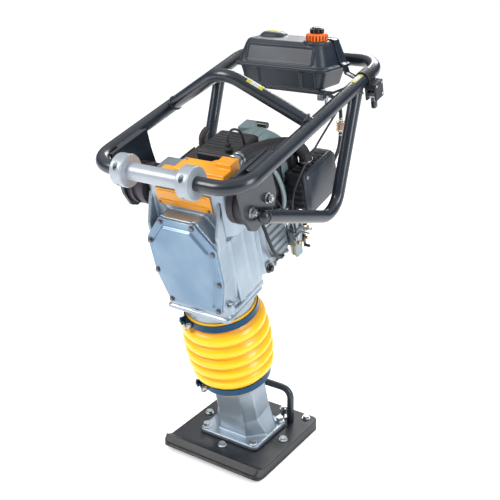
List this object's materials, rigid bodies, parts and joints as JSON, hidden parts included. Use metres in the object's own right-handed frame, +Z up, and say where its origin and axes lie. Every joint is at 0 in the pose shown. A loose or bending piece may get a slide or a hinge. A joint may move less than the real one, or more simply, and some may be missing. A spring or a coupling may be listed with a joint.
{
  "type": "tamping rammer",
  "caption": "Upright jumping-jack soil rammer: engine and crankcase on a spring leg with yellow bellows and flat shoe, under a looped tubular guide frame with fuel tank.",
  "frame": {"origin": "centre of the shoe's width on the sole, at ground level, 155 mm in front of the shoe's rear edge", "axes": "+Z up, -Y to the machine's front (transport roller side), +X to the right seen from the front; the leg leans 15 degrees forward, towards -Y"},
  "size_m": [0.441, 0.6609, 1.036],
  "materials": {
    "sole_steel": "worn black steel",
    "pad_black": "black moulded plastic",
    "zinc_bolt": "zinc plated",
    "silver_casting": "cast aluminium, silver paint",
    "steel_tube_black": "satin black powder coat",
    "machined_steel": "machined steel",
    "spring_steel": "oiled spring steel",
    "bellows_yellow": "yellow polyurethane",
    "clamp_blue": "blued steel band",
    "rubber_black": "black rubber",
    "cover_orange": "orange-yellow moulded cover",
    "engine_silver": "die-cast aluminium",
    "engine_black": "black shroud",
    "fan_grey": "grey-green painted steel",
    "muffler_steel": "heat-proof black",
    "carb_alloy": "die-cast zinc alloy",
    "plastic_slate": "dark slate moulded plastic",
    "cap_orange": "orange plastic",
    "knob_black": "black plastic",
    "filter_clear": "clear plastic with paper element",
    "brass_parts": "brass"
  },
  "bodies": {
    "foot": {"shoe_sole": "sole_steel", "shoe_pad": "pad_black", "shoe_fasteners": "zinc_bolt", "foot_casting": "silver_casting", "lifting_bar": "steel_tube_black", "spring_cylinder": "machined_steel", "cylinder_cap": "machined_steel", "ram_springs": "spring_steel", "bellows": "bellows_yellow", "lower_clamp": "clamp_blue"},
    "housing": {"upper_clamp": "clamp_blue", "crankcase": "silver_casting", "crankcase_cover": "silver_casting", "case_screws": "zinc_bolt", "guide_tube": "silver_casting", "clutch_housing": "silver_casting", "rubber_mounts": "rubber_black", "front_panel": "cover_orange", "top_cover": "cover_orange", "engine_block": "engine_silver", "cylinder_barrel": "engine_silver", "head_shroud": "engine_black", "spark_lead": "rubber_black", "fan_housing": "fan_grey", "starter_cover": "fan_grey", "muffler": "muffler_steel", "carburetor": "carb_alloy", "air_cleaner_body": "engine_black", "air_cleaner_cover": "plastic_slate", "intake_hose": "rubber_black"},
    "handle": {"frame_loop": "steel_tube_black", "side_stays": "steel_tube_black", "hoist_bar": "steel_tube_black", "mount_plates": "steel_tube_black", "mount_bolts": "zinc_bolt", "fuel_tank": "plastic_slate", "tank_cradle": "steel_tube_black", "fuel_tap": "brass_parts", "fuel_hose": "rubber_black", "fuel_filter": "filter_clear", "throttle_housing": "engine_black", "throttle_cable": "rubber_black"},
    "crank": {"crank_gear": "machined_steel"},
    "con_rod": {"connecting_rod": "machined_steel"},
    "ram": {"piston_rod": "machined_steel"},
    "pinion": {"pinion_drum": "machined_steel"},
    "engine_shaft": {"engine_crankshaft": "machined_steel", "clutch_shoes": "machined_steel", "flywheel": "engine_silver"},
    "reel": {"starter_reel": "engine_black"},
    "grip": {"starter_grip": "knob_black"},
    "throttle": {"throttle_lever": "machined_steel"},
    "carb_throttle": {"carb_throttle_arm": "machined_steel"},
    "choke": {"choke_lever": "knob_black"},
    "tap": {"fuel_tap_lever": "cap_orange"},
    "cap": {"fuel_cap": "cap_orange"},
    "vent": {"vent_knob": "knob_black"},
    "roller": {"transport_roller": "silver_casting", "roller_screws": "zinc_bolt"},
    "switch": {"stop_switch": "cap_orange"}
  },
  "joints": [
    {"name": "ram_stroke", "type": "slide", "parent": "foot", "child": "housing", "axis": [0, -0.2588, 0.9659], "range_m": [-0.03, 0.03], "stiffness_N_per_m": 26000, "springref_m": 0.01895, "deforming": ["ram_springs", "bellows"]},
    {"name": "handle_flex", "type": "hinge", "parent": "housing", "child": "handle", "pos_m": [0, -0.15808, 0.72058], "axis": [1, 0, 0], "range_deg": [-4, 4], "stiffness_Nm_per_rad": 2600, "springref_deg": 0.52, "deforming": ["fuel_hose", "throttle_cable"]},
    {"name": "crank_turn", "type": "hinge", "parent": "housing", "child": "crank", "pos_m": [0, -0.12107, 0.58245], "axis": [0, 0.9659, 0.2588], "range_deg": [-18, 18], "deforming": ["ram_springs"]},
    {"name": "con_rod_swing", "type": "hinge", "parent": "crank", "child": "con_rod", "pos_m": [0.03, -0.12107, 0.58245], "axis": [0, 0.9659, 0.2588], "range_deg": [-19, 19]},
    {"name": "ram_slide", "type": "slide", "parent": "housing", "child": "ram", "axis": [0, -0.2588, 0.9659], "range_m": [-0.0096, 0.0096], "deforming": ["ram_springs"]},
    {"name": "pinion_spin", "type": "hinge", "parent": "housing", "child": "pinion", "pos_m": [0, -0.1222, 0.66394], "axis": [0, 0.9659, 0.2588], "range_deg": [-92, 92]},
    {"name": "engine_spin", "type": "hinge", "parent": "housing", "child": "engine_shaft", "pos_m": [0, 0.00337, 0.69758], "axis": [0, 0.9659, 0.2588], "continuous": true},
    {"name": "starter_turn", "type": "hinge", "parent": "housing", "child": "reel", "pos_m": [0, 0.12315, 0.72968], "axis": [0, 0.9659, 0.2588], "range_deg": [0, 650], "stiffness_Nm_per_rad": 0.05, "springref_deg": -343.77},
    {"name": "starter_pull", "type": "slide", "parent": "housing", "child": "grip", "axis": [0, 0.9659, 0.2588], "range_m": [0, 0.5]},
    {"name": "throttle_turn", "type": "hinge", "parent": "handle", "child": "throttle", "pos_m": [0.2155, 0.25295, 0.88662], "axis": [1, 0, 0], "range_deg": [0, 75]},
    {"name": "carb_throttle_turn", "type": "hinge", "parent": "housing", "child": "carb_throttle", "pos_m": [0.111, 0.08986, 0.56029], "axis": [1, 0, 0], "range_deg": [-38, 0]},
    {"name": "choke_turn", "type": "hinge", "parent": "housing", "child": "choke", "pos_m": [0.111, 0.11859, 0.55349], "axis": [1, 0, 0], "range_deg": [0, 60]},
    {"name": "fuel_tap_turn", "type": "hinge", "parent": "handle", "child": "tap", "pos_m": [0.0865, 0.258, 0.863], "axis": [1, 0, 0], "range_deg": [-90, 0]},
    {"name": "fuel_cap_lift", "type": "slide", "parent": "handle", "child": "cap", "axis": [0, 0, 1], "range_m": [0, 0.08]},
    {"name": "vent_turn", "type": "hinge", "parent": "cap", "child": "vent", "pos_m": [0.082, 0.216, 1.03], "axis": [0, 0, 1], "range_deg": [0, 90]},
    {"name": "roller_spin", "type": "hinge", "parent": "handle", "child": "roller", "pos_m": [-0.01, -0.27175, 0.78392], "axis": [1, 0, 0], "continuous": true},
    {"name": "stop_switch_rock", "type": "hinge", "parent": "housing", "child": "switch", "pos_m": [0, 0.15591, 0.68566], "axis": [1, 0, 0], "range_deg": [-8, 8]}
  ],
  "couplings": [
    {"joint": "con_rod_swing", "follows": "crank_turn", "ratio": -1},
    {"joint": "ram_slide", "follows": "crank_turn", "m_per_rad": -0.03},
    {"joint": "pinion_spin", "follows": "crank_turn", "ratio": -5.0769},
    {"joint": "starter_pull", "follows": "starter_turn", "m_per_rad": 0.044},
    {"joint": "carb_throttle_turn", "follows": "throttle_turn", "ratio": -0.5}
  ]
}
